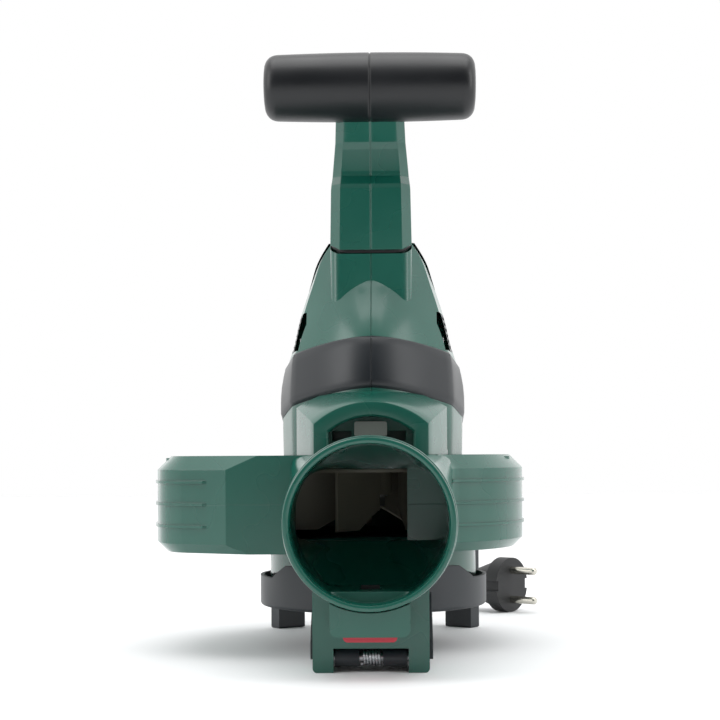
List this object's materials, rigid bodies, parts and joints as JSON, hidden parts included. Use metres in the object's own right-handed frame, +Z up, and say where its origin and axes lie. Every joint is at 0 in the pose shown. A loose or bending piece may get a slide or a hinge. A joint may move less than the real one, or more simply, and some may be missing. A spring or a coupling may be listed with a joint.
{
  "type": "leaf blower",
  "caption": "Electric leaf blower: upright motor on a snail-shaped fan case, round outlet in front, tilting T grip, rear loop handle, hinged inlet guard.",
  "frame": {"origin": "on the floor, under the middle of the machine's footprint without its cord", "axes": "-Y out of the air outlet, +Z up, +X to the right seen from the front"},
  "size_m": [0.2204, 0.4439, 0.3139],
  "materials": {
    "green_shell": "satin moulded",
    "dark_shell": "fine grained",
    "soft_grip": "matt soft",
    "grey_plastic": "fine grained",
    "mid_grey_plastic": "satin moulded",
    "black_plastic": "matt",
    "red_plastic": "satin moulded",
    "impeller_plastic": "satin moulded",
    "bright_steel": "drawn",
    "zinc_steel": "zinc plated",
    "lamination_steel": "stamped",
    "aluminium": "die cast",
    "copper_wire": "lacquered",
    "commutator_copper": "turned",
    "carbon": "pressed carbon",
    "circuit_board": "lacquered",
    "cord_rubber": "matt",
    "nickel_pins": "nickel plated"
  },
  "bodies": {
    "housing": {"fan_case_upper": "green_shell", "fan_case_lower": "green_shell", "screws": "zinc_steel", "outlet_tube": "green_shell", "motor_housing_left": "green_shell", "motor_housing_right": "green_shell", "side_louvres": "dark_shell", "band_left": "dark_shell", "band_right": "dark_shell", "hood_left": "green_shell", "hood_right": "green_shell", "outlet_catch": "mid_grey_plastic", "bearing_plate": "aluminium", "bearings": "bright_steel", "upper_bracket": "zinc_steel", "stator_core": "lamination_steel", "stator_coils": "copper_wire", "brush_holders": "commutator_copper", "carbon_brushes": "carbon", "drum_liner": "black_plastic", "pivot_bolt": "zinc_steel", "friction_washers": "black_plastic", "handle_left": "green_shell", "handle_right": "green_shell", "trigger_spring": "bright_steel", "switch_module": "black_plastic", "steel_pins": "bright_steel", "strap_eye": "grey_plastic", "cable_gland": "cord_rubber", "power_cord": "cord_rubber", "plug_body": "cord_rubber", "plug_pins": "nickel_pins", "inlet_neck": "green_shell", "guard_spring": "bright_steel", "front_legs": "green_shell", "rear_feet": "grey_plastic", "latch_housing": "green_shell", "latch_spring": "bright_steel", "speed_board": "circuit_board"},
    "rotor": {"motor_shaft": "bright_steel", "armature_core": "lamination_steel", "armature_windings": "copper_wire", "commutator": "commutator_copper", "cooling_fan": "black_plastic", "impeller": "impeller_plastic", "impeller_nut": "zinc_steel"},
    "stem": {"stem_left": "green_shell", "stem_right": "green_shell", "tilt_tongue": "zinc_steel", "grip_left": "soft_grip", "grip_right": "soft_grip", "grip_core": "grey_plastic"},
    "guard": {"inlet_guard": "grey_plastic", "guard_grille": "grey_plastic"},
    "tube_latch": {"release_button": "red_plastic", "latch_lever": "black_plastic"},
    "trigger_lever": {"trigger": "black_plastic"},
    "lock_on_button": {"lock_button": "black_plastic", "lock_spring": "bright_steel"},
    "dial": {"speed_dial": "grey_plastic"}
  },
  "joints": [
    {"name": "rotor_spin", "type": "hinge", "parent": "housing", "child": "rotor", "pos_m": [0.01665, -0.01093, 0.12], "axis": [0, 0, 1], "continuous": true},
    {"name": "stem_tilt", "type": "hinge", "parent": "housing", "child": "stem", "pos_m": [0.01665, -0.01313, 0.1806], "axis": [1, 0, 0], "range_deg": [-12, 12]},
    {"name": "guard_swing", "type": "hinge", "parent": "housing", "child": "guard", "pos_m": [0.01665, -0.11823, 0.0067], "axis": [-1, 0, 0], "range_deg": [0, 70], "stiffness_Nm_per_rad": 0.05, "springref_deg": -137.51},
    {"name": "latch_press", "type": "hinge", "parent": "housing", "child": "tube_latch", "pos_m": [0.01665, -0.13843, 0.0258], "axis": [-1, 0, 0], "range_deg": [0, 12], "stiffness_Nm_per_rad": 0.05, "springref_deg": -22.92, "deforming": ["latch_spring"]},
    {"name": "trigger_pull", "type": "hinge", "parent": "housing", "child": "trigger_lever", "pos_m": [0.01665, 0.07307, 0.187], "axis": [-1, 0, 0], "range_deg": [0, 10], "stiffness_Nm_per_rad": 0.2, "springref_deg": -17.19, "deforming": ["trigger_spring"]},
    {"name": "lock_press", "type": "slide", "parent": "housing", "child": "lock_on_button", "axis": [1, 0, 0], "range_m": [0, 0.003], "stiffness_N_per_m": 300, "springref_m": -0.003},
    {"name": "dial_turn", "type": "hinge", "parent": "housing", "child": "dial", "pos_m": [0.01665, 0.06707, 0.2073], "axis": [1, 0, 0], "range_deg": [-140, 140]}
  ]
}
